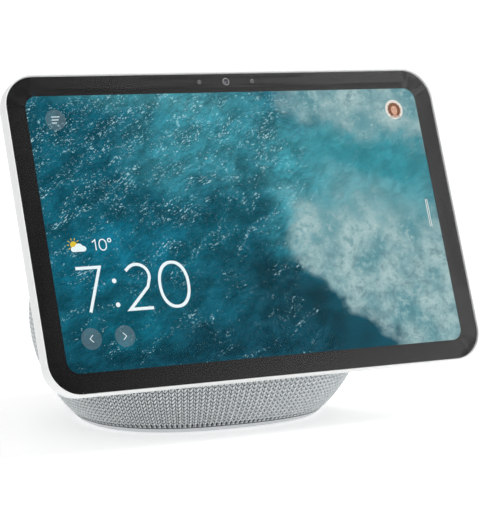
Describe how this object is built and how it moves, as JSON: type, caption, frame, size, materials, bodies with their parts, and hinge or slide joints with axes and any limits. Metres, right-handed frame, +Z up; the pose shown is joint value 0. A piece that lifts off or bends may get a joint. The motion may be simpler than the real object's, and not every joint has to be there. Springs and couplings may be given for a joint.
{
  "type": "smart display",
  "caption": "Tilted touch-screen display slab with rounded corners on a knit-covered rounded loudspeaker base, edge buttons and a rear power inlet.",
  "frame": {"origin": "middle of the rubber foot's lower face, on the surface that the display stands on", "axes": "+Z up; +X to the right of a person looking at the screen, along the screen's long side; -Y towards that person"},
  "size_m": [0.2085, 0.1329, 0.1528],
  "materials": {
    "cover_glass": "polished toughened glass",
    "black_ink": "printed black border",
    "lcd_glass": "lit screen picture",
    "clear_plastic": "light guide",
    "steel_sheet": "stamped sheet",
    "black_foam": "foam tape",
    "black_plastic": "moulded",
    "screw_steel": "zinc plated",
    "white_plastic": "fine satin moulding",
    "circuit_board": "solder mask",
    "camera_black": "moulded barrel",
    "lens_glass": "coated lens",
    "black_rubber": "moulded rubber",
    "chip_black": "moulded packages",
    "grey_rubber": "soft silicone",
    "aluminium_sheet": "rolled sheet",
    "copper_foil": "etched foil",
    "amber_film": "polyimide film",
    "black_cable": "cable jacket",
    "grey_plastic": "fine matt moulding",
    "knit_fabric": "knitted polyester",
    "brass_pin": "plated pin",
    "amber_fabric": "impregnated cloth",
    "black_steel": "powder coat",
    "magnet_steel": "nickel plated",
    "coil_copper": "enamelled winding",
    "cone_paper": "pressed paper pulp"
  },
  "bodies": {
    "base": {"backlight_diffuser": "clear_plastic", "backlight_tray": "steel_sheet", "base_plate": "grey_plastic", "base_rim": "grey_plastic", "base_screws": "screw_steel", "bezel_mask": "black_ink", "board_chips": "chip_black", "board_screws": "screw_steel", "button_board": "circuit_board", "camera_lens": "lens_glass", "camera_module": "camera_black", "cover_glass": "cover_glass", "dc_jack": "black_plastic", "display_flex": "amber_film", "display_gasket": "black_foam", "fabric_cover": "knit_fabric", "foot_pad": "grey_rubber", "frame_screws": "screw_steel", "harness": "black_cable", "heat_spreader": "aluminium_sheet", "jack_pin": "brass_pin", "lcd_panel": "lcd_glass", "left_driver_basket": "black_steel", "left_driver_magnet": "magnet_steel", "left_driver_surround": "black_rubber", "left_grille": "grey_plastic", "light_sensors": "camera_black", "main_board": "circuit_board", "microphone_boots": "black_rubber", "microphones": "circuit_board", "mid_frame": "black_plastic", "neck_bracket": "steel_sheet", "neck_screws": "screw_steel", "port_bezel": "grey_plastic", "power_board": "circuit_board", "power_board_parts": "chip_black", "processor_shield": "steel_sheet", "rear_grille": "grey_plastic", "rear_housing": "white_plastic", "right_driver_basket": "black_steel", "right_driver_magnet": "magnet_steel", "right_driver_surround": "black_rubber", "right_grille": "grey_plastic", "speaker_enclosure": "grey_plastic", "speaker_screws": "screw_steel", "thermal_pad": "grey_rubber", "wifi_antennas": "copper_foil", "woofer_basket": "black_steel", "woofer_magnet": "magnet_steel", "woofer_spider": "amber_fabric", "woofer_surround": "black_rubber"},
    "volume_up_button": {"volume_up_button": "white_plastic"},
    "volume_down_button": {"volume_down_button": "white_plastic"},
    "camera_button": {"camera_button": "white_plastic"},
    "woofer_diaphragm": {"woofer_cone": "cone_paper", "woofer_voice_coil": "coil_copper"},
    "left_diaphragm": {"left_driver_cone": "cone_paper", "left_driver_voice_coil": "coil_copper"},
    "right_diaphragm": {"right_driver_cone": "cone_paper", "right_driver_voice_coil": "coil_copper"}
  },
  "joints": [
    {"name": "volume_up_press", "type": "slide", "parent": "base", "child": "volume_up_button", "axis": [-1, 0, 0], "range_m": [0, 0.0004], "stiffness_N_per_m": 2500},
    {"name": "volume_down_press", "type": "slide", "parent": "base", "child": "volume_down_button", "axis": [-1, 0, 0], "range_m": [0, 0.0004], "stiffness_N_per_m": 2500},
    {"name": "camera_button_press", "type": "slide", "parent": "base", "child": "camera_button", "axis": [-1, 0, 0], "range_m": [0, 0.0004], "stiffness_N_per_m": 2500},
    {"name": "woofer_stroke", "type": "slide", "parent": "base", "child": "woofer_diaphragm", "axis": [0, 1, 0], "range_m": [-0.002, 0.002], "stiffness_N_per_m": 1500, "deforming": ["woofer_surround", "woofer_spider"]},
    {"name": "left_driver_stroke", "type": "slide", "parent": "base", "child": "left_diaphragm", "axis": [-1, 0, 0], "range_m": [-0.001, 0.001], "stiffness_N_per_m": 1500, "deforming": ["left_driver_surround"]},
    {"name": "right_driver_stroke", "type": "slide", "parent": "base", "child": "right_diaphragm", "axis": [1, 0, 0], "range_m": [-0.001, 0.001], "stiffness_N_per_m": 1500, "deforming": ["right_driver_surround"]}
  ]
}
